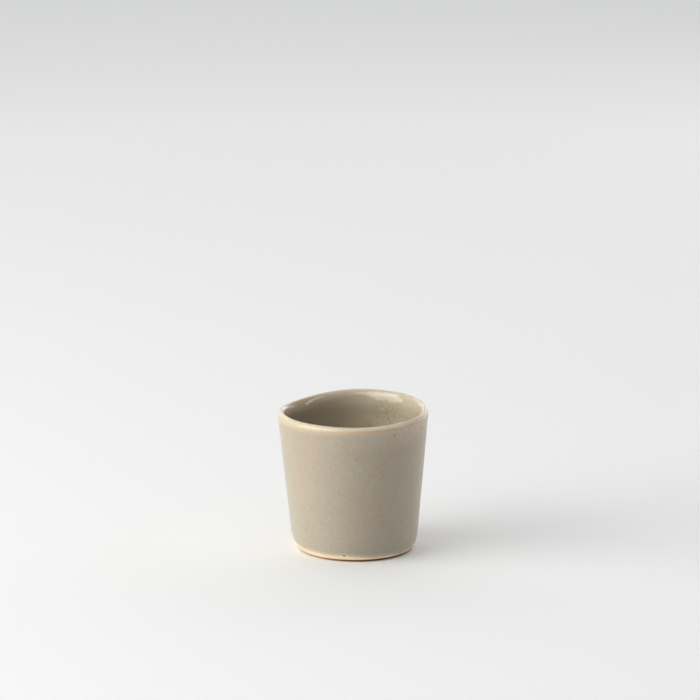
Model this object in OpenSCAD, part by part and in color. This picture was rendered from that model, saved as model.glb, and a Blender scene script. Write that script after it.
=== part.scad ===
// A small hand-formed sake cup. It is one thrown body of stoneware clay, with a celadon glaze poured in to
// line it and a second coat dipped on outside. The two coats meet on the crest of the lip, and the foot is
// left bare. The origin is the centre of the foot, on the table, and +Z is up. Sizes are millimetres.

/* [Cup] */
// Height of the cup where its rim is level
cup_h = 56; // [46:0.5:70]
// Outside radius of the clay at the mouth
mouth_r = 29.5; // [27:0.1:36]
// Outside radius that the straight wall would have at the table
base_r = 24.2; // [23:0.1:27]
// Sideways shift of the mouth over the foot, along X
mouth_shift = -0.7; // [-2:0.1:2]

/* [Rim] */
// Height that one side of the rim swells above the rest
rim_rise = 2.6; // [0:0.1:6]
// Direction of the swell, counted from +X towards +Y
rim_rise_dir = 60; // [0:5:355]
// Sharpness of the swell, where 1 is a plain tilt
rim_rise_power = 3; // [1:1:6]
// Height of the rounding on the outside of the lip
lip_round = 1.8; // [0.8:0.1:3]
// Height of the longer rounding on the inside of the lip
lip_inner_round = 9; // [4:0.5:12]
// Width of the lip from its outside face to its crest
lip_crest_w = 1.1; // [0.6:0.1:1.4]

/* [Clay] */
// Thickness of the clay wall under the lip's rounding
lip_t = 3.2; // [2:0.1:4]
// Thickness of the clay wall where it leaves the floor
wall_t = 3.4; // [2.4:0.1:4.5]
// Height of the clay floor above the table
floor_h = 4.5; // [3:0.1:7]
// Radius of the curve between the floor and the wall inside
floor_curve = 7; // [3:0.5:10]

/* [Foot] */
// Radius of the flat surface that the cup stands on
stand_r = 20.9; // [19:0.1:21]
// Height of the curve that draws the wall in to the foot
foot_curve_h = 8.4; // [5:0.1:12]
// How far that curve draws the wall in
foot_inset = 2.9; // [1:0.1:3]
// Fullness of that curve, where 2 is round and more is squarer
foot_fullness = 2.3; // [2:0.1:3]
// Height of the bevel under the foot's edge
foot_bevel_h = 0.5; // [0.3:0.1:1]
// Radius of the shallow hollow turned into the underside
hollow_r = 15.5; // [10:0.5:17]
// Depth of that hollow
hollow_d = 0.9; // [0.3:0.1:1.5]
// Width of the eased edge of that hollow
hollow_edge = 1.6; // [0.5:0.1:3]

/* [Glaze] */
// Height of the glaze line above the table
glaze_line_h = 2.3; // [1.5:0.1:4.5]
// Thickness of the outside coat
outer_coat = 0.35; // [0.2:0.05:0.8]
// Thickness of the inside coat on the wall
inner_coat = 0.4; // [0.2:0.05:0.8]
// Thickness of the inside coat where it pools on the floor
pool_coat = 0.8; // [0.4:0.05:1.5]
// Thickness of both coats on the crest of the lip, where they run thin
crest_coat = 0.2; // [0.1:0.05:0.4]
// Thickness of the outside coat at the glaze line
line_coat = 0.12; // [0.08:0.02:0.3]
// Height over which the outside coat thickens above the glaze line
line_run = 1.2; // [0.5:0.1:3]

/* [Smoothness] */
// Points round the cup
around = 64; // [40:8:88]
// Steps along a straight wall
wall_steps = 5; // [3:1:7]
// Steps over a quarter of a curve
curve_steps = 5; // [3:1:6]

/* [Hidden] */

// Heights of the clay's crest, and of where its roundings spring from the straight walls
crest_h = cup_h - crest_coat;
spring_h = crest_h - lip_round;
inner_spring_h = crest_h - lip_inner_round;
// The inside curve ends, and the wall begins, at this height
curve_top_h = floor_h + floor_curve;
// How far a cut runs past the face that it starts from
overrun = hollow_d;

// Radius of the straight wall outside, and inside, at a height
function out_r(z) = base_r + (mouth_r - base_r) * z / spring_h;
function in_r(z) =
    let (low = out_r(floor_h) - wall_t, u = (z - floor_h) / (inner_spring_h - floor_h))
    low + (mouth_r - lip_t - low) * u;

// 0 below low, 1 above high, and a smooth S between
function ease(x, low, high) = let (u = max(0, min(1, (x - low) / (high - low)))) u * u * (3 - 2 * u);

// Steps from one number to another, both ends included
function steps(from, to, n) = [for (i = [0 : n]) from + (to - from) * i / n];

// Everything but the first point of a stretch, so that stretches join without a double point
function rest_of(path) = [for (i = [1 : len(path) - 1]) path[i]];

// Stretches of the clay's skin as [radius, height], from the foot to the floor inside
function foot_point(z) =
    let (u = pow(max(0, 1 - z / foot_curve_h), foot_fullness))
    [out_r(z) - foot_inset * (1 - pow(1 - u, 1 / foot_fullness)), z];
bare_foot = concat(
    [[stand_r, 0]],
    [for (z = steps(foot_bevel_h, glaze_line_h, curve_steps - 2)) foot_point(z)]
);
glazed_foot = [for (z = steps(glaze_line_h, foot_curve_h, curve_steps - 1)) foot_point(z)];
outer_wall = [for (z = steps(foot_curve_h, spring_h, wall_steps)) [out_r(z), z]];
outer_lip = [
    for (a = steps(0, 90, curve_steps))
        [mouth_r - lip_crest_w * (1 - cos(a)), spring_h + lip_round * sin(a)]
];
inner_lip = [
    for (a = steps(90, 0, curve_steps))
        [mouth_r - lip_t + (lip_t - lip_crest_w) * (1 - cos(a)), inner_spring_h + lip_inner_round * sin(a)]
];
inner_wall = [for (z = steps(inner_spring_h, curve_top_h, wall_steps)) [in_r(z), z]];
inner_curve = [
    for (a = steps(0, 90, curve_steps))
        let (z = floor_h + floor_curve * (1 - sin(a)))
        [in_r(z) - floor_curve * (1 - cos(a)), z]
];

outer_skin = concat(glazed_foot, rest_of(outer_wall), rest_of(outer_lip));
inner_skin = concat(inner_lip, rest_of(inner_wall), rest_of(inner_curve));
clay_skin = concat(bare_foot, rest_of(outer_skin), rest_of(inner_skin));
line_place = len(bare_foot) - 1;
crest_place = line_place + len(outer_skin) - 1;

// Outward direction of the clay's skin at its point i
function outward(i) =
    let (a = clay_skin[max(0, i - 1)], b = clay_skin[min(len(clay_skin) - 1, i + 1)], d = b - a)
    [d.y, -d.x] / norm(d);

// Thickness of each coat on the clay at a height
function outer_coat_at(z) =
    line_coat + (outer_coat - line_coat) * ease(z, glaze_line_h, glaze_line_h + line_run)
    - (outer_coat - crest_coat) * ease(z, spring_h - lip_round, crest_h);
function inner_coat_at(z) =
    pool_coat - (pool_coat - inner_coat) * ease(z, floor_h, curve_top_h)
    - (inner_coat - crest_coat) * ease(z, inner_spring_h, crest_h);

outer_coat_skin = [
    for (i = [line_place : crest_place]) clay_skin[i] + outward(i) * outer_coat_at(clay_skin[i].y)
];
// The pool's edge lies flat on the floor, so its last point is straight above the clay's
inner_coat_skin = [
    for (i = [crest_place : len(clay_skin) - 1])
        let (last = i == len(clay_skin) - 1, t = inner_coat_at(clay_skin[i].y))
        clay_skin[i] + (last ? [0, t] : outward(i) * t)
];

// Height that the hand-formed rim adds in a direction
function rise_at(a) = rim_rise * pow((1 + cos(a - rim_rise_dir)) / 2, rim_rise_power);

// A point of a skin in its place on the cup, turned to the angle a and moved with the mouth
function placed(p, a) = [
    p.x * cos(a) + mouth_shift * p.y / cup_h,
    p.x * sin(a),
    p.y + rise_at(a) * ease(p.y, foot_curve_h, spring_h)
];

// The rings of points that a skin makes round the cup
function rings(skin) = [for (p = skin, j = [0 : around - 1]) placed(p, 360 * j / around)];

// The numbers of the points on a ring
function ring(first, reverse = false) = [
    for (j = [0 : around - 1]) first + (reverse ? around - 1 - j : j)
];

// Two triangles for each cell between neighbouring rings, facing away from the axis on a skin that climbs
function band(a, b, reverse = false) = [
    for (j = [0 : around - 1])
        let (k = (j + 1) % around)
        each reverse ? [[a + j, a + k, b + k], [a + j, b + k, b + j]]
                     : [[a + j, b + k, a + k], [a + j, b + j, b + k]]
];
function sheet(count, first, reverse = false) = [
    for (i = [0 : count - 2]) each band(first + i * around, first + (i + 1) * around, reverse)
];

// The shallow hollow turned into the underside, with an eased edge and a cut that runs past the foot
module foot_hollow() {
    edge = [for (a = steps(0, 90, curve_steps)) [hollow_r - hollow_edge * cos(a), hollow_d * (1 - sin(a))]];
    rotate_extrude($fn = around)
        polygon(concat([[0, hollow_d]], edge, [[hollow_r, -overrun], [0, -overrun]]));
}

// The clay body: one skin, closed by a flat foot and the floor inside, less the turned hollow
module clay_body() {
    count = len(clay_skin);
    color("#dcc6a6")
        difference() {
            polyhedron(
                rings(clay_skin),
                concat([ring(0)], sheet(count, 0), [ring((count - 1) * around, true)])
            );
            foot_hollow();
        }
}

// The outside coat: a thin sleeve on the clay from the glaze line to the crest of the lip
module outer_glaze() {
    count = len(outer_skin);
    under = count * around;
    end = (count - 1) * around;
    color("#b3aa97")
        polyhedron(
            concat(rings(outer_coat_skin), rings(outer_skin)),
            concat(
                sheet(count, 0), sheet(count, under, true),
                band(0, under, true), band(end, under + end)
            )
        );
}

// The inside coat: a thin liner from the crest of the lip down to its pool on the floor
module inner_glaze() {
    count = len(inner_skin);
    under = count * around;
    end = (count - 1) * around;
    color("#a59c80")
        polyhedron(
            concat(rings(inner_coat_skin), rings(inner_skin)),
            concat(
                sheet(count, 0), sheet(count, under, true),
                band(0, under, true), [ring(end, true), ring(under + end)]
            )
        );
}

clay_body();
outer_glaze();
inner_glaze();
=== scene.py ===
"""A small guinomi on a pale table: buff stoneware, satin celadon outside, glossy crackled celadon inside."""
import math

import bmesh
import bpy
from mathutils import Matrix, Vector, noise


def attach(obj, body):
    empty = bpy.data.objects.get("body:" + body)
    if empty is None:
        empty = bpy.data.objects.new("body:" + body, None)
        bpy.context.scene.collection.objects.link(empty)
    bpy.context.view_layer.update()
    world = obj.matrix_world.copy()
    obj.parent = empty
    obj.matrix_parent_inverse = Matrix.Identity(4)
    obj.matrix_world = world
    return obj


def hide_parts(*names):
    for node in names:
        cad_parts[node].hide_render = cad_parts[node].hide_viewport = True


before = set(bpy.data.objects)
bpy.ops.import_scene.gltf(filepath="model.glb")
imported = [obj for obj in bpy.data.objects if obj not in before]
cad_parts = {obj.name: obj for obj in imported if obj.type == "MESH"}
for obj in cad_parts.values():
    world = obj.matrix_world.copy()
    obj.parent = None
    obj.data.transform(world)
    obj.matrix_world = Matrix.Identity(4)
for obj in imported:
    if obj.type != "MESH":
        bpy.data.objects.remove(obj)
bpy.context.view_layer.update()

# The body: one piece of buff stoneware thrown on the wheel, with a straight flared wall, a rounded foot
# with a shallow hollow turned into it, and a thick lip that the hand left higher on one side. It is bare at
# the foot.
mm = 0.001  # the scene is in metres
cup_height = 56 * mm
mouth_radius = 29.5 * mm
wall_foot_radius = 24.2 * mm
stand_radius = 21.4 * mm
foot_inset = 3.3 * mm
foot_curve_height = 8.4 * mm
foot_fullness = 2.2
foot_bevel_height = 0.5 * mm
hollow_radius = 15.5 * mm
hollow_depth = 0.9 * mm
hollow_edge = 1.6 * mm
lip_width = 3.2 * mm
lip_outer_width = 1.1 * mm
lip_outer_drop = 1.8 * mm
lip_inner_drop = 9 * mm
fine_wall_reach = 3 * mm
wall_thickness = 3.4 * mm
floor_height = 4.5 * mm
floor_curve = 7 * mm
floor_dish_angle = math.radians(3.5)
crest_coat = 0.2 * mm
points_around = 224

spring_height = cup_height - crest_coat - lip_outer_drop
crest_height = cup_height - crest_coat
crest_radius = mouth_radius - lip_outer_width
inner_spring_height = crest_height - lip_inner_drop
inner_mouth_radius = mouth_radius - lip_width

# What the hand left. A finger's wave has its count round the rim, its height and its direction in degrees.
mouth_shift = -0.7 * mm
foot_shift = 0.25 * mm
swell_height = 2.65 * mm
swell_direction = math.radians(60)
swell_power = 3
finger_waves = [(2, 0.14 * mm, 13), (3, 0.13 * mm, 87), (4, 0.08 * mm, 12), (5, 0.09 * mm, 29)]
throwing_unevenness = 0.06 * mm
throwing_rings_per_mm = 0.325


def ease(value, low, high):
    """0 below low, 1 above high, and a smooth S between."""
    share = max(0, min(1, (value - low) / (high - low)))
    return share * share * (3 - 2 * share)


def flare(height):
    """Outside radius of the straight wall."""
    return wall_foot_radius + (mouth_radius - wall_foot_radius) * height / spring_height


def outer_radius(height):
    """Outside radius of the clay: the flare, drawn in to the foot by a full curve."""
    drawn = max(0, 1 - height / foot_curve_height)
    return flare(height) - foot_inset * (1 - (1 - drawn ** foot_fullness) ** (1 / foot_fullness))


def inner_radius(height):
    """Inside radius of the clay: straight, and drawn in to the floor by a quarter circle."""
    share = (height - floor_height) / (inner_spring_height - floor_height)
    foot_inside = flare(floor_height) - wall_thickness
    straight = foot_inside + (inner_mouth_radius - foot_inside) * share
    drawn = max(0, 1 - (height - floor_height) / floor_curve)
    return straight - floor_curve * (1 - math.sqrt(1 - drawn ** 2))


def steps(start, end, count):
    """Evenly spaced values from start to end, both included."""
    return [start + (end - start) * i / count for i in range(count + 1)]


def quarter(count):
    """Angles of a quarter turn, for the round stretches of an outline."""
    return steps(0, math.pi / 2, count)


def hand_formed(point):
    """Where the hand left a point of the turned cup: mouth and foot shifted, rim swollen and waving."""
    angle = math.atan2(point.y, point.x)
    radius = math.hypot(point.x, point.y)
    swell = swell_height * ((1 + math.cos(angle - swell_direction)) / 2) ** swell_power
    waves = sum(size * math.cos(count * (angle - math.radians(turn))) for count, size, turn in finger_waves)
    rise = (swell + waves) * ease(point.z, foot_curve_height, spring_height)
    ring_place = Vector((math.cos(angle), math.sin(angle), throwing_rings_per_mm * point.z / mm))
    rings = throwing_unevenness * noise.noise(ring_place) * ease(point.z, 0, foot_curve_height)
    wider = 1 + rings / max(radius, stand_radius)
    shift = mouth_shift * point.z / cup_height + foot_shift * (1 - ease(point.z, 0, foot_curve_height))
    return Vector((point.x * wider + shift, point.y * wider, point.z + rise))


def turned(name, outline, closed, waver=None):
    """A piece turned from an outline of (radius, height), then formed by the hand.

    Each point keeps the height in mm that it was thrown at, so the glazes' colours follow the formed rim.
    """
    bm = bmesh.new()
    thrown_layer = bm.verts.layers.float.new("thrown_height")
    verts = []
    for radius, height in outline:
        vert = bm.verts.new((radius, 0, height))
        vert[thrown_layer] = height / mm
        verts.append(vert)
    pairs = list(zip(verts, verts[1:])) + ([(verts[-1], verts[0])] if closed else [])
    edges = [bm.edges.new(pair) for pair in pairs]
    bmesh.ops.spin(
        bm, geom=verts + edges, axis=(0, 0, 1), cent=(0, 0, 0), angle=2 * math.pi, steps=points_around,
        use_merge=True,
    )
    bmesh.ops.remove_doubles(bm, verts=bm.verts, dist=0.001 * mm)
    for vert in bm.verts:
        if waver:
            vert.co = waver(vert.co)
        vert.co = hand_formed(vert.co)
    bmesh.ops.recalc_face_normals(bm, faces=bm.faces)
    mesh = bpy.data.meshes.new(name)
    bm.to_mesh(mesh)
    bm.free()
    mesh.shade_smooth()
    piece = bpy.data.objects.new(name, mesh)
    bpy.context.scene.collection.objects.link(piece)
    return piece


hollow_outline = [(0, hollow_depth)] + [
    (hollow_radius - hollow_edge * math.cos(a), hollow_depth * (1 - math.sin(a))) for a in quarter(6)
]
foot_edge_width = outer_radius(foot_bevel_height) - stand_radius
foot_edge_outline = [
    (stand_radius + foot_edge_width * math.sin(a), foot_bevel_height * (1 - math.cos(a))) for a in quarter(8)
]
foot_heights = steps(foot_bevel_height, foot_curve_height, 40)
foot_outline = foot_edge_outline + [(outer_radius(z), z) for z in foot_heights[1:]]

# The top of the wall has finer steps, because the break of the glaze runs there.
fine_wall_height = spring_height - fine_wall_reach
wall_heights = steps(foot_curve_height, fine_wall_height, 32)
wall_heights += steps(fine_wall_height, spring_height, 16)[1:]
wall_outline = [(outer_radius(z), z) for z in wall_heights]
outer_lip_outline = [
    (crest_radius + lip_outer_width * math.cos(a), spring_height + lip_outer_drop * math.sin(a))
    for a in quarter(14)
]
lip_inner_width = lip_width - lip_outer_width
inner_lip_outline = [
    (crest_radius - lip_inner_width * math.sin(a), inner_spring_height + lip_inner_drop * math.cos(a))
    for a in quarter(24)
]
inner_wall_outline = [
    (inner_radius(z), z) for z in steps(inner_spring_height, floor_height + floor_curve, 30)
]

# The floor's curve stops a little short of level, and a shallow dish carries it on to the middle.
floor_curve_heights = [
    floor_height + floor_curve * (1 - math.sin(a)) for a in steps(0, math.pi / 2 - floor_dish_angle, 16)
]
floor_curve_outline = [(inner_radius(z), z) for z in floor_curve_heights]
dish_radius, dish_top = floor_curve_outline[-1]
dish_depth = math.tan(floor_dish_angle) * dish_radius / 2
floor_outline = floor_curve_outline + [
    (r, dish_top - dish_depth * (1 - (r / dish_radius) ** 2)) for r in steps(dish_radius, 0, 10)[1:]
]
body_outline = (
    hollow_outline + foot_outline + wall_outline[1:] + outer_lip_outline[1:] + inner_lip_outline[1:]
    + inner_wall_outline[1:] + floor_outline[1:]
)
clay_body = turned("clay_body_stoneware", body_outline, closed=False)


def rgb(hex_colour):
    """An sRGB hex colour as linear red, green, blue and alpha."""
    parts = [int(hex_colour[i:i + 2], 16) / 255 for i in (1, 3, 5)]
    return [p / 12.92 if p <= 0.04045 else ((p + 0.055) / 1.055) ** 2.4 for p in parts] + [1]


def add(tree, kind, settings=None, links=None):
    """Adds a node, with its settings by attribute or socket, and links by socket.

    A mix of colours takes its share in socket 0 and its two colours in 6 and 7, and gives output 2.
    """
    node = tree.nodes.new(kind)
    for key, value in (settings or {}).items():
        if isinstance(key, int) or not hasattr(node, key):
            node.inputs[key].default_value = value
        else:
            setattr(node, key, value)
    for key, output in (links or {}).items():
        tree.links.new(output, node.inputs[key])
    return node


def new_material(name):
    """A material, its node tree, its shader, and the coordinates on the object that its patterns follow."""
    material = bpy.data.materials.new(name)
    material.use_nodes = True
    tree = material.node_tree
    place = add(tree, "ShaderNodeTexCoord").outputs["Object"]
    return material, tree, tree.nodes["Principled BSDF"], place


def speckled(tree, place, base, spots):
    """Paints round spots on a colour, each given by its place and radius in mm, its colour and strength.

    A spot is full to half of its radius, and gone at 1.3 of it.
    """
    for centre, radius, colour, strength in spots:
        away = add(
            tree, "ShaderNodeVectorMath", {"operation": "DISTANCE", 1: Vector(centre) * mm}, {0: place}
        )
        mask = add(
            tree, "ShaderNodeMapRange",
            {"From Min": radius * 0.5 * mm, "From Max": radius * 1.3 * mm, "To Min": strength, "To Max": 0},
            {"Value": away.outputs["Value"]},
        )
        base = add(
            tree, "ShaderNodeMix", {"data_type": "RGBA", 7: rgb(colour)},
            {0: mask.outputs["Result"], 6: base},
        ).outputs[2]
    return base


# Buff stoneware, fired bare: a pale peach clay, dry and sandy to the touch, painted lighter towards the
# shaded right as painted light. Its grog shows as fine grain. The sharp edge that it stands on is painted
# dark brown, partly the flame's browning and partly painted shade where it meets the table, lighter on the
# lit left and darkest on the shaded right. The real grog is 0.1 to 0.3 mm, and is drawn a little coarser.
clay_pale = "#DACAB3"
clay_toasted = "#DBC4A6"
toast_size = 9 * mm
# Painted light: the clay's colour is scaled from 1 at the left up to 1.32 towards the shaded right.
clay_painted_light_left = 1.0
clay_painted_light_right = 1.32
clay_painted_light_x_from = -19 * mm
clay_painted_light_x_to = 12 * mm
# The foot's edge: partly the flame's browning, partly painted shade where it meets the table. It is lighter
# on the lit left and darkest on the shaded right.
edge_brown_and_light_left = "#A38A66"
edge_brown_and_shade_right = "#6A4424"
edge_light_to_shade_x_from = -17 * mm
edge_light_to_shade_x_to = -2 * mm
edge_height = 0.7 * mm
edge_fade_height = 0.42 * mm
edge_width = 1.4 * mm
grog_size = 0.4 * mm
grog_height = 0.05 * mm
clay_roughness = 0.85
clay_ior = 1.45

# An iron speck on the glaze line, by its place and radius in mm, its colour and strength.
foot_speck_place = (-4.3, -23.5, 2.8)
foot_speck = (foot_speck_place, 0.52, "#4E3206", 1)

stoneware, tree, shader, place = new_material("bare_stoneware")
axes = add(tree, "ShaderNodeSeparateXYZ", links={0: place})
toast = add(tree, "ShaderNodeTexNoise", {"Scale": 1 / toast_size, "Detail": 4}, {"Vector": place})
clay_mix = add(
    tree, "ShaderNodeMix", {"data_type": "RGBA", 6: rgb(clay_pale), 7: rgb(clay_toasted)},
    {0: toast.outputs["Fac"]},
)
# Painted light: the clay grows lighter across X towards the shaded right.
clay_painted_light = add(
    tree, "ShaderNodeMapRange",
    {
        "From Min": clay_painted_light_x_from, "From Max": clay_painted_light_x_to,
        "To Min": clay_painted_light_left, "To Max": clay_painted_light_right,
    },
    {"Value": axes.outputs["X"]},
)
clay_with_painted_light = add(
    tree, "ShaderNodeVectorMath", {"operation": "SCALE"},
    {0: clay_mix.outputs[2], "Scale": clay_painted_light.outputs["Result"]},
)
# Painted light and shade on the foot's edge: lighter on the lit left, darkest on the shaded right.
edge_light_to_shade = add(
    tree, "ShaderNodeMapRange", {"From Min": edge_light_to_shade_x_from, "From Max": edge_light_to_shade_x_to},
    {"Value": axes.outputs["X"]},
)
edge_brown_and_shade = add(
    tree, "ShaderNodeMix", {"data_type": "RGBA", 6: rgb(edge_brown_and_light_left), 7: rgb(edge_brown_and_shade_right)},
    {0: edge_light_to_shade.outputs["Result"]},
)
low_share = add(
    tree, "ShaderNodeMapRange",
    {"From Min": edge_height, "From Max": edge_height + edge_fade_height, "To Min": 1, "To Max": 0},
    {"Value": axes.outputs["Z"]},
)
flat_place = add(tree, "ShaderNodeMapping", {3: (1, 1, 0)}, {0: place})
from_axis = add(tree, "ShaderNodeVectorMath", {"operation": "LENGTH"}, {0: flat_place.outputs[0]})
outer_share = add(
    tree, "ShaderNodeMapRange",
    {"From Min": stand_radius - edge_width, "From Max": stand_radius - edge_width / 2},
    {"Value": from_axis.outputs["Value"]},
)
edge_brown_and_shade_share = add(
    tree, "ShaderNodeMath", {"operation": "MULTIPLY"},
    {0: low_share.outputs["Result"], 1: outer_share.outputs["Result"]},
)
# Browning and painted shade on the lowest edge of the foot.
browned_and_shaded = add(
    tree, "ShaderNodeMix", {"data_type": "RGBA"},
    {0: edge_brown_and_shade_share.outputs[0], 6: clay_with_painted_light.outputs[0], 7: edge_brown_and_shade.outputs[2]},
)
surface = speckled(tree, place, browned_and_shaded.outputs[2], [foot_speck])
tree.links.new(surface, shader.inputs["Base Color"])
grog = add(
    tree, "ShaderNodeTexNoise", {"Scale": 1 / grog_size, "Detail": 3, "Roughness": 0.7}, {"Vector": place}
)
clay_bump = add(
    tree, "ShaderNodeBump", {"Strength": 0.5, "Distance": grog_height}, {"Height": grog.outputs["Fac"]}
)
tree.links.new(clay_bump.outputs["Normal"], shader.inputs["Normal"])
shader.inputs["Roughness"].default_value = clay_roughness
shader.inputs["IOR"].default_value = clay_ior

clay_body.data.materials.append(stoneware)
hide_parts("clay_body")
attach(clay_body, "root")

# The outside coat: a satin grey-green celadon that the cup was dipped in up to its lip. It is thin and buff
# on the shoulder of the lip, and feathers out on a wavering line just above the foot.
glaze_line = 2.3 * mm
glaze_line_waver = 0.6 * mm
glaze_line_waver_scale = 2.6
glaze_line_lean = 0.8 * mm
outer_coat = 0.35 * mm
line_coat = 0.1 * mm
line_run = 1.8 * mm
lip_thinning = 2.4 * mm

outer_skin = (
    [(outer_radius(z), z) for z in steps(glaze_line, foot_curve_height, 24)]
    + wall_outline[1:] + outer_lip_outline[1:]
)


def outer_coat_at(height):
    """Depth of the outside coat: feathered at the glaze line, thin on the lip."""
    full = line_coat + (outer_coat - line_coat) * ease(height, glaze_line, glaze_line + line_run)
    return full - (full - crest_coat) * ease(height, crest_height - lip_thinning, crest_height)


def coated(skin, coat_at):
    """The closed outline of a coat on a stretch of the clay's skin: its face, then its back on the clay.

    A point on the cup's axis is lifted straight up, so that it stays there.
    """
    face = []
    for i, (radius, height) in enumerate(skin):
        before = Vector(skin[max(0, i - 1)])
        after = Vector(skin[min(len(skin) - 1, i + 1)])
        along = (after - before).normalized()
        thickness = coat_at(height)
        outward = along.y * thickness if radius > 0 else 0
        face.append((radius + outward, height - along.x * thickness))
    return face + skin[::-1]


def glaze_run(point):
    """Lets the glaze line lean and waver. The coat slides along the foot's curve, and keeps to the clay."""
    angle = math.atan2(point.y, point.x)
    share = 1 - ease(point.z, glaze_line, foot_curve_height)
    waver_place = Vector((math.cos(angle), math.sin(angle), 0)) * glaze_line_waver_scale
    slide = share * (glaze_line_waver * noise.noise(waver_place) - glaze_line_lean * math.cos(angle))
    radius = math.hypot(point.x, point.y)
    wider = 1 + (outer_radius(point.z + slide) - outer_radius(point.z)) / radius
    return Vector((point.x * wider, point.y * wider, point.z + slide))


outer_glaze = turned("outer_glaze_celadon", coated(outer_skin, outer_coat_at), closed=True, waver=glaze_run)

# A satin celadon on a buff body: grey-green where it lies thick, with pinkish clouds where the body shows
# through. The lip's crest is pale cream, palest on the right short of its far end: painted light on the
# right, and painted shade on the lit left and at the far end. The shoulder under it breaks to a line, buff
# on the left and warm brown in patches on the right. The wall under the lip is painted paler towards the
# right, as painted light, and thin glaze lets the body warm the wall just over the foot. The craze lines are
# hairs of 0.05 mm, too fine to show, so they are drawn wider and faint.
celadon_green = "#A19985"
celadon_pink = "#A69785"
cloud_size = 7 * mm
cloud_stretch = 3
mottle_size = 1.1 * mm
mottle_darkest = 0.9
mottle_lightest = 1.1

# Low on the wall, and just over the foot
celadon_low = "#A19A88"
low_band_z_from = 3 * mm
low_band_z_to = 15 * mm
celadon_over_foot = "#CDB999"
line_fade = 1.6 * mm

# Under the lip, and on its break and crest. The colours there turn from left to right over a span of X, and
# carry painted light and shade: the wall under the lip is painted paler towards the right, and the crest is
# painted darker on the lit left and at its far right end and paler between.
lip_turn_x_from = -15 * mm
lip_turn_x_to = 18 * mm
# Painted light: the wall under the lip is painted paler towards the right.
celadon_under_lip_painted_light = "#BDB09E"
under_lip_painted_light_reach = 9 * mm
under_lip_painted_light_most = 0.8
celadon_break_pale = "#B9A98C"
celadon_break_brown = "#CAA882"
break_height = 54.1 * mm
break_under_left = 2.4 * mm
break_under_right = 0.7 * mm
break_patch_size = 3 * mm
brown_least = 0.35
# The crest's pale cream, with painted shade on the lit left and at the far end, and painted light on the
# right.
celadon_crest_shade_left = "#C8BBA1"
celadon_crest_light_right = "#E1D5C0"
celadon_crest_shade_end = "#C8BDAC"
crest_shade_end_x_from = 15 * mm
crest_shade_end_x_to = 27 * mm
crest_starts = break_height + 0.425 * mm
crest_full = break_height + 1.275 * mm
crest_least = 0.8

# The craze lines, the ripple of the surface and its gloss
craze_dark = "#7D7462"
craze_cell = 2.2 * mm
craze_width = 0.16 * mm
craze_strength = 0.16
craze_faintest = 0.2
craze_patch_cells = 7
ripple_size = 7 * mm
ripple_height = 0.12 * mm
satin_roughness = 0.34
crest_roughness = 0.26
glaze_ior = 1.5

# A noise pattern's values lie mostly between these two, so what follows one is stretched over them.
noise_low = 0.35
noise_high = 0.65

# Iron specks, by place and radius in mm, colour and strength. The one at the foot has a pale ring round it.
specks = [
    (foot_speck_place, 1.3, "#D8C9AE", 0.4),
    foot_speck,
    ((0.09, -28.83, 43.81), 0.28, "#5E5140", 0.55),
    ((1.57, -28.75, 43.79), 0.24, "#5E5140", 0.5),
    ((0.63, -28.71, 42.65), 0.3, "#5E5140", 0.6),
    ((15.53, -24.84, 51.93), 0.55, "#6F604C", 0.5),
    ((26.35, -12.27, 52.07), 0.75, "#6B6040", 0.45),
]


def crazed(tree, place, base, cell, width, strength, fade=None):
    """Draws a net of craze lines on a colour. It is bent a little, and comes and goes in patches."""
    bend = add(tree, "ShaderNodeTexNoise", {"Scale": 1 / cell, "Detail": 2}, {"Vector": place})
    bent = add(
        tree, "ShaderNodeVectorMath", {"operation": "MULTIPLY_ADD", 1: Vector((1, 1, 1)) * cell},
        {0: bend.outputs["Color"], 2: place},
    )
    net = add(
        tree, "ShaderNodeTexVoronoi", {"feature": "DISTANCE_TO_EDGE", "Scale": 1 / cell},
        {"Vector": bent.outputs[0]},
    )
    line = add(
        tree, "ShaderNodeMapRange", {"From Min": 0, "From Max": width / cell, "To Min": 1, "To Max": 0},
        {"Value": net.outputs["Distance"]},
    )
    patch = add(
        tree, "ShaderNodeTexNoise", {"Scale": 1 / (craze_patch_cells * cell), "Detail": 1}, {"Vector": place}
    )
    patch_share = add(
        tree, "ShaderNodeMapRange",
        {
            "From Min": noise_low, "From Max": noise_high,
            "To Min": craze_faintest * strength, "To Max": strength,
        },
        {"Value": patch.outputs["Fac"]},
    )
    mask = add(
        tree, "ShaderNodeMath", {"operation": "MULTIPLY"},
        {0: line.outputs["Result"], 1: patch_share.outputs["Result"]},
    )
    if fade is not None:
        mask = add(tree, "ShaderNodeMath", {"operation": "MULTIPLY"}, {0: mask.outputs[0], 1: fade})
    return add(
        tree, "ShaderNodeMix", {"data_type": "RGBA", 7: rgb(craze_dark)}, {0: mask.outputs[0], 6: base}
    ).outputs[2]


outer_celadon, tree, shader, place = new_material("satin_celadon")
axes = add(tree, "ShaderNodeSeparateXYZ", links={0: place})
thrown_height = add(tree, "ShaderNodeAttribute", {"attribute_name": "thrown_height"}).outputs["Fac"]
run_down = add(tree, "ShaderNodeMapping", {3: (1, 1, 1 / cloud_stretch)}, {0: place})
cloud = add(
    tree, "ShaderNodeTexNoise", {"Scale": 1 / cloud_size, "Detail": 3, "Roughness": 0.6},
    {"Vector": run_down.outputs[0]},
)
cloud_share = add(
    tree, "ShaderNodeMapRange", {"From Min": noise_low, "From Max": noise_high},
    {"Value": cloud.outputs["Fac"]},
)
cloud_mix = add(
    tree, "ShaderNodeMix", {"data_type": "RGBA", 6: rgb(celadon_green), 7: rgb(celadon_pink)},
    {0: cloud_share.outputs["Result"]},
)
low_share = add(
    tree, "ShaderNodeMapRange",
    {"From Min": low_band_z_from, "From Max": low_band_z_to, "To Min": 1, "To Max": 0},
    {"Value": axes.outputs["Z"]},
)
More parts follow.
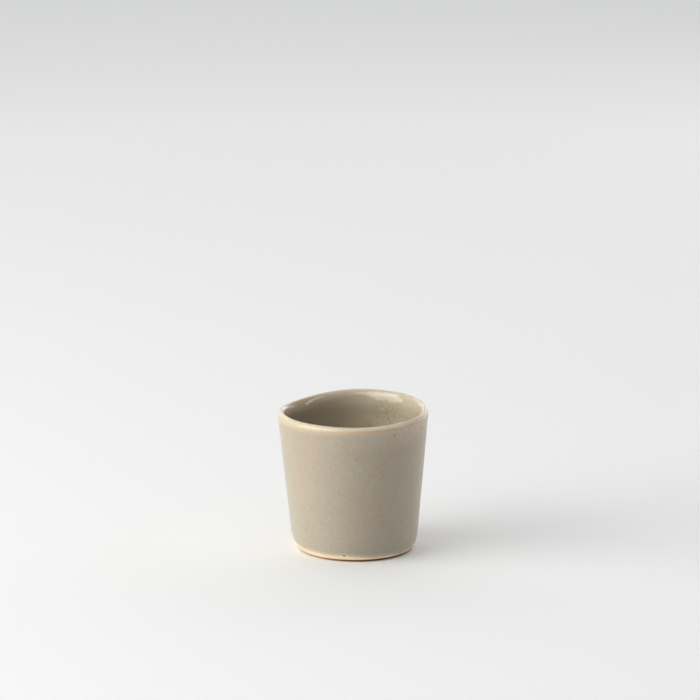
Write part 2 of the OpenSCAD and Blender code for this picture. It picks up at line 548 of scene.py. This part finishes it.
low_mix = add(
    tree, "ShaderNodeMix", {"data_type": "RGBA", 7: rgb(celadon_low)},
    {0: low_share.outputs["Result"], 6: cloud_mix.outputs[2]},
)
to_right = add(
    tree, "ShaderNodeMapRange", {"From Min": lip_turn_x_from, "From Max": lip_turn_x_to},
    {"Value": axes.outputs["X"]},
).outputs["Result"]
# Painted light under the lip, growing towards the right.
under_lip_painted_light = add(
    tree, "ShaderNodeMapRange",
    {
        "From Min": (break_height - under_lip_painted_light_reach) / mm, "From Max": break_height / mm,
        "To Max": under_lip_painted_light_most,
    },
    {"Value": thrown_height},
)
under_lip_painted_light_share = add(
    tree, "ShaderNodeMath", {"operation": "MULTIPLY"}, {0: to_right, 1: under_lip_painted_light.outputs["Result"]}
)
under_lip_painted_light_mix = add(
    tree, "ShaderNodeMix", {"data_type": "RGBA", 7: rgb(celadon_under_lip_painted_light)},
    {0: under_lip_painted_light_share.outputs[0], 6: low_mix.outputs[2]},
)
above_line = add(
    tree, "ShaderNodeMapRange", {"From Min": glaze_line / mm, "From Max": (glaze_line + line_fade) / mm},
    {"Value": thrown_height},
)
wall_mix = add(
    tree, "ShaderNodeMix", {"data_type": "RGBA", 6: rgb(celadon_over_foot)},
    {0: above_line.outputs["Result"], 7: under_lip_painted_light_mix.outputs[2]},
)
break_patch = add(
    tree, "ShaderNodeTexNoise", {"Scale": 1 / break_patch_size, "Detail": 2}, {"Vector": place}
)
brown_patch = add(
    tree, "ShaderNodeMapRange", {"From Min": 0.35, "From Max": 0.6, "To Min": brown_least, "To Max": 1},
    {"Value": break_patch.outputs["Fac"]},
)
brown_share = add(
    tree, "ShaderNodeMath", {"operation": "MULTIPLY"}, {0: to_right, 1: brown_patch.outputs["Result"]}
)
break_mix = add(
    tree, "ShaderNodeMix", {"data_type": "RGBA", 6: rgb(celadon_break_pale), 7: rgb(celadon_break_brown)},
    {0: brown_share.outputs[0]},
)
# Painted light and shade on the crest: darker on the lit left, paler on the right, darker again at the far
# end.
crest_light_and_shade = add(
    tree, "ShaderNodeMix", {"data_type": "RGBA", 6: rgb(celadon_crest_shade_left), 7: rgb(celadon_crest_light_right)},
    {0: to_right},
)
to_shaded_end = add(
    tree, "ShaderNodeMapRange", {"From Min": crest_shade_end_x_from, "From Max": crest_shade_end_x_to},
    {"Value": axes.outputs["X"]},
)
crest_cream_and_shade = add(
    tree, "ShaderNodeMix", {"data_type": "RGBA", 7: rgb(celadon_crest_shade_end)},
    {0: to_shaded_end.outputs["Result"], 6: crest_light_and_shade.outputs[2]},
)
crest_patch = add(
    tree, "ShaderNodeMapRange", {"From Min": 0.4, "From Max": 0.65, "To Min": 1, "To Max": crest_least},
    {"Value": break_patch.outputs["Fac"]},
)
crest_share = add(
    tree, "ShaderNodeMapRange", {"From Min": crest_starts / mm, "From Max": crest_full / mm},
    {"Value": thrown_height, "To Max": crest_patch.outputs["Result"]},
)
lip_mix = add(
    tree, "ShaderNodeMix", {"data_type": "RGBA"},
    {0: crest_share.outputs["Result"], 6: break_mix.outputs[2], 7: crest_cream_and_shade.outputs[2]},
)
break_starts = add(
    tree, "ShaderNodeMapRange",
    {"To Min": (break_height - break_under_left) / mm, "To Max": (break_height - break_under_right) / mm},
    {"Value": to_right},
)
lip_share = add(
    tree, "ShaderNodeMapRange", {"From Max": break_height / mm, "interpolation_type": "SMOOTHSTEP"},
    {"Value": thrown_height, "From Min": break_starts.outputs["Result"]},
)
glaze_mix = add(
    tree, "ShaderNodeMix", {"data_type": "RGBA"},
    {0: lip_share.outputs["Result"], 6: wall_mix.outputs[2], 7: lip_mix.outputs[2]},
)
mottle = add(
    tree, "ShaderNodeTexNoise", {"Scale": 1 / mottle_size, "Detail": 3, "Roughness": 0.65}, {"Vector": place}
)
mottle_light = add(
    tree, "ShaderNodeMapRange",
    {"From Min": 0.2, "From Max": 0.8, "To Min": mottle_darkest, "To Max": mottle_lightest},
    {"Value": mottle.outputs["Fac"]},
)
mottled = add(
    tree, "ShaderNodeVectorMath", {"operation": "SCALE"},
    {0: glaze_mix.outputs[2], "Scale": mottle_light.outputs["Result"]},
)
surface = crazed(tree, place, mottled.outputs[0], craze_cell, craze_width, craze_strength)
surface = speckled(tree, place, surface, specks)
tree.links.new(surface, shader.inputs["Base Color"])
ripple = add(tree, "ShaderNodeTexNoise", {"Scale": 1 / ripple_size, "Detail": 2}, {"Vector": place})
glaze_bump = add(
    tree, "ShaderNodeBump", {"Strength": 0.4, "Distance": ripple_height}, {"Height": ripple.outputs["Fac"]}
)
tree.links.new(glaze_bump.outputs["Normal"], shader.inputs["Normal"])
gloss = add(
    tree, "ShaderNodeMapRange", {"To Min": satin_roughness, "To Max": crest_roughness},
    {"Value": crest_share.outputs["Result"]},
)
tree.links.new(gloss.outputs["Result"], shader.inputs["Roughness"])
shader.inputs["IOR"].default_value = glaze_ior

outer_glaze.data.materials.append(outer_celadon)
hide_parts("outer_glaze")
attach(outer_glaze, "root")

# The inside coat: the same celadon poured in as a liner and left glossy, thicker where it pooled on the
# floor, with a fine crackle all over.
inner_coat = 0.4 * mm
pool_coat = 0.8 * mm
crest_thinning = 5 * mm

inner_skin = inner_lip_outline + inner_wall_outline[1:] + floor_outline[1:]


def inner_coat_at(height):
    """Depth of the inside coat: thin on the crest, and pooled towards the floor."""
    pooled = pool_coat - (pool_coat - inner_coat) * ease(height, floor_height, floor_height + floor_curve)
    return pooled - (pooled - crest_coat) * ease(height, crest_height - crest_thinning, crest_height)


inner_glaze = turned("inner_glaze_celadon", coated(inner_skin, inner_coat_at), closed=True)

# The same celadon, glossy: glass-clear on top, so the window shows in it. It is cream where it thins towards
# the lip, painted darker and narrower on the lit right as painted shade. It is grey-green on the wall,
# painted darker on the shaded left and paler on the lit right, as painted shade and light. It is painted
# warmer and paler lower down on the right as painted light, and deeper in the pool on the floor. Its craze
# lines are stained darker than outside and are clearest on the right.
# Painted shade: the lip's cream is darker and narrower on the lit right.
liner_lip_left = "#D8C5A6"
liner_lip_shade_right = "#C3B7A0"
liner_lip_reach_left = 4.6 * mm
liner_lip_reach_right = 2.2 * mm
# Painted shade on the shaded left of the wall, and painted light on its lit right.
liner_green_shade_left = "#9F9380"
liner_green_light_right = "#B1A68D"
liner_turn_x_from = -18 * mm
liner_turn_x_to = 5 * mm
# Painted light: the wall is painted warmer and paler lower down on the right, where the window lights it.
liner_warm_light = "#D4C2A1"
liner_warm_light_height = 47 * mm
liner_warm_light_full_height = 42.5 * mm
liner_warm_light_x_from = -6 * mm
liner_warm_light_x_to = 12 * mm
liner_pool = "#918B6E"
liner_craze_cell = 1.6 * mm
liner_craze_width = 0.22 * mm
liner_craze_strength = 0.7
liner_craze_left = 0.25
liner_craze_x_from = -12 * mm
liner_craze_x_to = 8 * mm
liner_roughness = 0.02

inner_celadon, tree, shader, place = new_material("glossy_celadon")
across = add(tree, "ShaderNodeSeparateXYZ", links={0: place}).outputs["X"]
thrown_height = add(tree, "ShaderNodeAttribute", {"attribute_name": "thrown_height"}).outputs["Fac"]
to_right = add(
    tree, "ShaderNodeMapRange", {"From Min": liner_turn_x_from, "From Max": liner_turn_x_to},
    {"Value": across},
).outputs["Result"]
lip_colour = add(
    tree, "ShaderNodeMix", {"data_type": "RGBA", 6: rgb(liner_lip_left), 7: rgb(liner_lip_shade_right)},
    {0: to_right},
)
wall_colour = add(
    tree, "ShaderNodeMix", {"data_type": "RGBA", 6: rgb(liner_green_shade_left), 7: rgb(liner_green_light_right)},
    {0: to_right},
)
lip_starts = add(
    tree, "ShaderNodeMapRange",
    {
        "To Min": (cup_height - liner_lip_reach_left) / mm,
        "To Max": (cup_height - liner_lip_reach_right) / mm,
    },
    {"Value": to_right},
)
wall_share = add(
    tree, "ShaderNodeMapRange", {"From Max": cup_height / mm, "To Min": 1, "To Max": 0},
    {"Value": thrown_height, "From Min": lip_starts.outputs["Result"]},
)
liner_mix = add(
    tree, "ShaderNodeMix", {"data_type": "RGBA"},
    {0: wall_share.outputs["Result"], 6: lip_colour.outputs[2], 7: wall_colour.outputs[2]},
)
# Painted light lower down on the right.
warm_light_across = add(
    tree, "ShaderNodeMapRange", {"From Min": liner_warm_light_x_from, "From Max": liner_warm_light_x_to},
    {"Value": across},
)
warm_light_share = add(
    tree, "ShaderNodeMapRange",
    {"From Min": liner_warm_light_full_height / mm, "From Max": liner_warm_light_height / mm, "To Max": 0},
    {"Value": thrown_height, "To Min": warm_light_across.outputs["Result"]},
)
warm_light_mix = add(
    tree, "ShaderNodeMix", {"data_type": "RGBA", 7: rgb(liner_warm_light)},
    {0: warm_light_share.outputs["Result"], 6: liner_mix.outputs[2]},
)
pool_share = add(
    tree, "ShaderNodeMapRange",
    {"From Min": floor_height / mm, "From Max": (floor_height + floor_curve) / mm, "To Min": 1, "To Max": 0},
    {"Value": thrown_height},
)
pool_mix = add(
    tree, "ShaderNodeMix", {"data_type": "RGBA", 7: rgb(liner_pool)},
    {0: pool_share.outputs["Result"], 6: warm_light_mix.outputs[2]},
)
craze_across = add(
    tree, "ShaderNodeMapRange",
    {"From Min": liner_craze_x_from, "From Max": liner_craze_x_to, "To Min": liner_craze_left, "To Max": 1},
    {"Value": across},
)
crackled = crazed(
    tree, place, pool_mix.outputs[2], liner_craze_cell, liner_craze_width, liner_craze_strength,
    fade=craze_across.outputs["Result"],
)
surface = add(
    tree, "ShaderNodeMix", {"data_type": "RGBA"},
    {0: wall_share.outputs["Result"], 6: pool_mix.outputs[2], 7: crackled},
).outputs[2]
tree.links.new(surface, shader.inputs["Base Color"])
shader.inputs["Roughness"].default_value = liner_roughness
shader.inputs["IOR"].default_value = glaze_ior

inner_glaze.data.materials.append(inner_celadon)
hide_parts("inner_glaze")
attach(inner_glaze, "root")

# The table: a wide sheet of pale matt paper laid flat, painted a little darker with distance as painted
# shade, as the light on a sweep falls off. The cup stands on it on its bare foot.
table_radius = 6000 * mm
table_near = "#F6F6F3"
# Painted shade: the paper's colour far from the cup.
table_far_shade = "#D9DAD6"
table_shade_starts = 1100 * mm
table_shade_ends = 2100 * mm
paper_roughness = 0.9
paper_specular = 0.1

bm = bmesh.new()
bmesh.ops.create_circle(bm, cap_ends=True, segments=128, radius=table_radius)
table_mesh = bpy.data.meshes.new("table")
bm.to_mesh(table_mesh)
bm.free()
table = bpy.data.objects.new("table", table_mesh)
bpy.context.scene.collection.objects.link(table)

paper, tree, shader, place = new_material("matt_paper")
far = add(tree, "ShaderNodeVectorMath", {"operation": "LENGTH"}, {0: place})
far_shade_share = add(
    tree, "ShaderNodeMapRange", {"From Min": table_shade_starts, "From Max": table_shade_ends},
    {"Value": far.outputs["Value"]},
)
paper_mix = add(
    tree, "ShaderNodeMix", {"data_type": "RGBA", 6: rgb(table_near), 7: rgb(table_far_shade)},
    {0: far_shade_share.outputs["Result"]},
)
tree.links.new(paper_mix.outputs[2], shader.inputs["Base Color"])
shader.inputs["Roughness"].default_value = paper_roughness
shader.inputs["Specular IOR Level"].default_value = paper_specular
table_mesh.materials.append(paper)

# The light: a pale room that is dimmer on the front right, a bright window low on the left, and soft fills
# from the front left, from behind, from above and low on the right. Some lamps light the cup without
# showing in its gloss, and some only show there.
room_colour = "#F8FAFF"
room_strength = 0.48
dim_side_strength = 0.3
dim_side_azimuth = math.radians(-55)
dim_side_rise = 0.2
dim_side_starts = 0.2
dim_side_full = 0.9
window_warmth = (1, 0.95, 0.84)
right_fill_tint = (0.98, 0.96, 1)

world = bpy.data.worlds.new("pale_room")
bpy.context.scene.world = world
world.use_nodes = True
tree = world.node_tree
room = tree.nodes["Background"]
room.inputs["Color"].default_value = rgb(room_colour)
direction = add(tree, "ShaderNodeTexCoord").outputs["Generated"]
dim_side = Vector((math.cos(dim_side_azimuth), math.sin(dim_side_azimuth), dim_side_rise)).normalized()
toward_dim = add(tree, "ShaderNodeVectorMath", {"operation": "DOT_PRODUCT", 1: dim_side}, {0: direction})
strength = add(
    tree, "ShaderNodeMapRange",
    {
        "From Min": dim_side_starts, "From Max": dim_side_full,
        "To Min": room_strength, "To Max": dim_side_strength,
    },
    {"Value": toward_dim.outputs["Value"]},
)
tree.links.new(strength.outputs["Result"], room.inputs["Strength"])

lamp_target = Vector((0, 0, 30 * mm))


def soft_lamp(
    name, azimuth, elevation, wide, tall, radiance, distance=1.6, roll=0, colour=(1, 1, 1),
    lights=True, glints=True,
):
    """A rectangular lamp that spans the angles given, in degrees. One of radiance 1 would itself look white.

    It lights what is matt if lights is set, and shows in what is glossy if glints is set.
    """
    lamp = bpy.data.lights.new(name, "AREA")
    lamp.shape = "RECTANGLE"
    lamp.size = 2 * distance * math.tan(math.radians(wide) / 2)
    lamp.size_y = 2 * distance * math.tan(math.radians(tall) / 2)
    lamp.energy = radiance * math.pi * lamp.size * lamp.size_y
    lamp.color = colour
    holder = bpy.data.objects.new(name, lamp)
    bpy.context.scene.collection.objects.link(holder)
    turn = math.radians(azimuth)
    climb = math.radians(elevation)
    flat = Vector((math.cos(turn), math.sin(turn), 0)) * math.cos(climb)
    holder.location = (flat + Vector((0, 0, math.sin(climb)))) * distance
    facing = (lamp_target - holder.location).to_track_quat("-Z", "Y").to_matrix()
    rolled = facing @ Matrix.Rotation(math.radians(roll), 3, "Z")
    holder.rotation_euler = rolled.to_euler()
    holder.visible_camera = False
    holder.visible_diffuse = lights
    holder.visible_glossy = glints


# The window lights the cup as one bright low patch. What the glossy glaze shows of it is its dimmer, wider
# form, which leans over to the front as it climbs, so that is built of low rows, each a little further on.
# A row's two ends are azimuths in degrees.
soft_lamp("left_window", azimuth=194, elevation=10.5, wide=50, tall=18, radiance=10.2, glints=False)
window_row_lowest = 9
window_row_tall = 3.6
window_row_ends = [(175, 204), (177, 229)] + [(179 + 2.4 * i, 233 + 4 * i) for i in range(8)]
for row, (right_end, left_end) in enumerate(window_row_ends):
    soft_lamp(
        f"window_glint_{row}", azimuth=(right_end + left_end) / 2,
        elevation=window_row_lowest + window_row_tall * row, wide=left_end - right_end, tall=window_row_tall,
        radiance=3.9, colour=window_warmth, lights=False,
    )
soft_lamp("strip_glint", azimuth=-20, elevation=30, wide=40, tall=7, radiance=3.8, roll=-37, lights=False)
soft_lamp("front_fill", azimuth=212, elevation=30, wide=50, tall=24, radiance=2.3)
soft_lamp("back_fill", azimuth=95, elevation=24, wide=80, tall=34, radiance=1.15, distance=3)
soft_lamp(
    "right_fill", azimuth=34, elevation=4, wide=36, tall=8, radiance=14.5, colour=right_fill_tint,
    glints=False,
)
soft_lamp("back_glint", azimuth=52, elevation=9, wide=50, tall=18, radiance=1.15, lights=False)
soft_lamp("top_fill", azimuth=270, elevation=76, wide=60, tall=60, radiance=0.42)

# The view: a long lens 1.4 m from the cup, 15.5 degrees above the table at the foot, with the cup low in a
# square picture. The centre of the foot falls on foot_px, and one pixel spans 0.4 mm there.
picture_px = 700
pixel = 0.4 * mm
foot_px = Vector((354.8, 546.8))
camera_distance = 1400 * mm
camera_rise = math.radians(15.5)
sensor_width = 36

off_centre = Vector((foot_px.x - picture_px / 2, foot_px.y - picture_px / 2)) * pixel
drop = math.atan(off_centre.y / camera_distance)
pitch = camera_rise - drop
depth = camera_distance * math.cos(drop)
ahead = Vector((0, math.cos(pitch), -math.sin(pitch)))
upward = Vector((0, math.sin(pitch), math.cos(pitch)))

camera = bpy.data.objects.new("camera", bpy.data.cameras.new("camera"))
bpy.context.scene.collection.objects.link(camera)
camera.location = upward * off_centre.y - ahead * depth - Vector((off_centre.x, 0, 0))
camera.rotation_euler = (math.pi / 2 - pitch, 0, 0)
camera.data.sensor_width = sensor_width
camera.data.lens = sensor_width * depth / (picture_px * pixel)
bpy.context.scene.camera = camera
bpy.context.scene.view_settings.view_transform = "Standard"
